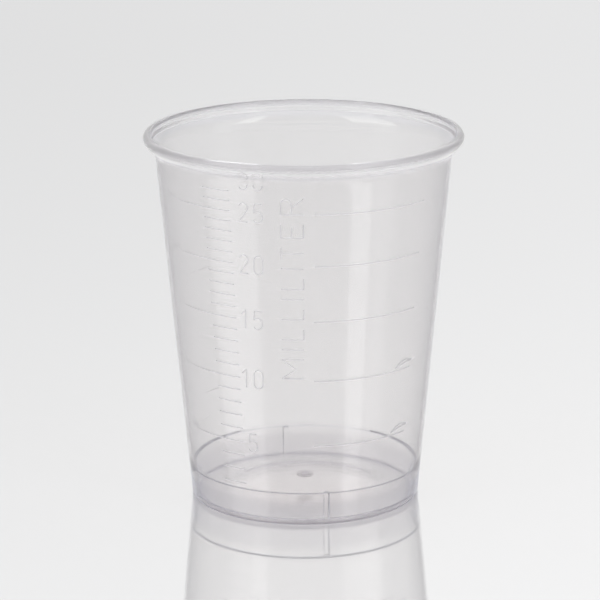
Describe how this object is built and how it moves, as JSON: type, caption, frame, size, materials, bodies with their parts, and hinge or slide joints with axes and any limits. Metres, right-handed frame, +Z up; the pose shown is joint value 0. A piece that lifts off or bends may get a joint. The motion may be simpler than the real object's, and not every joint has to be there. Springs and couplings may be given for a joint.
{
  "type": "medicine cup",
  "caption": "Small tapered see-through measuring cup with a flared rounded lip, raised volume marks, a stacking ledge inside the foot and a domed floor.",
  "frame": {"origin": "middle of the underside, on the plane that the foot stands on", "axes": "+Z up through the mouth; -Y is the front, with the unit word between the two scales; +X is to the right of the front"},
  "size_m": [0.037, 0.037, 0.0434],
  "materials": {
    "clear_plastic": "clear, slightly milky moulded plastic with a soft gloss"
  },
  "bodies": {
    "root": {"medicine_cup": "clear_plastic"}
  },
  "joints": []
}
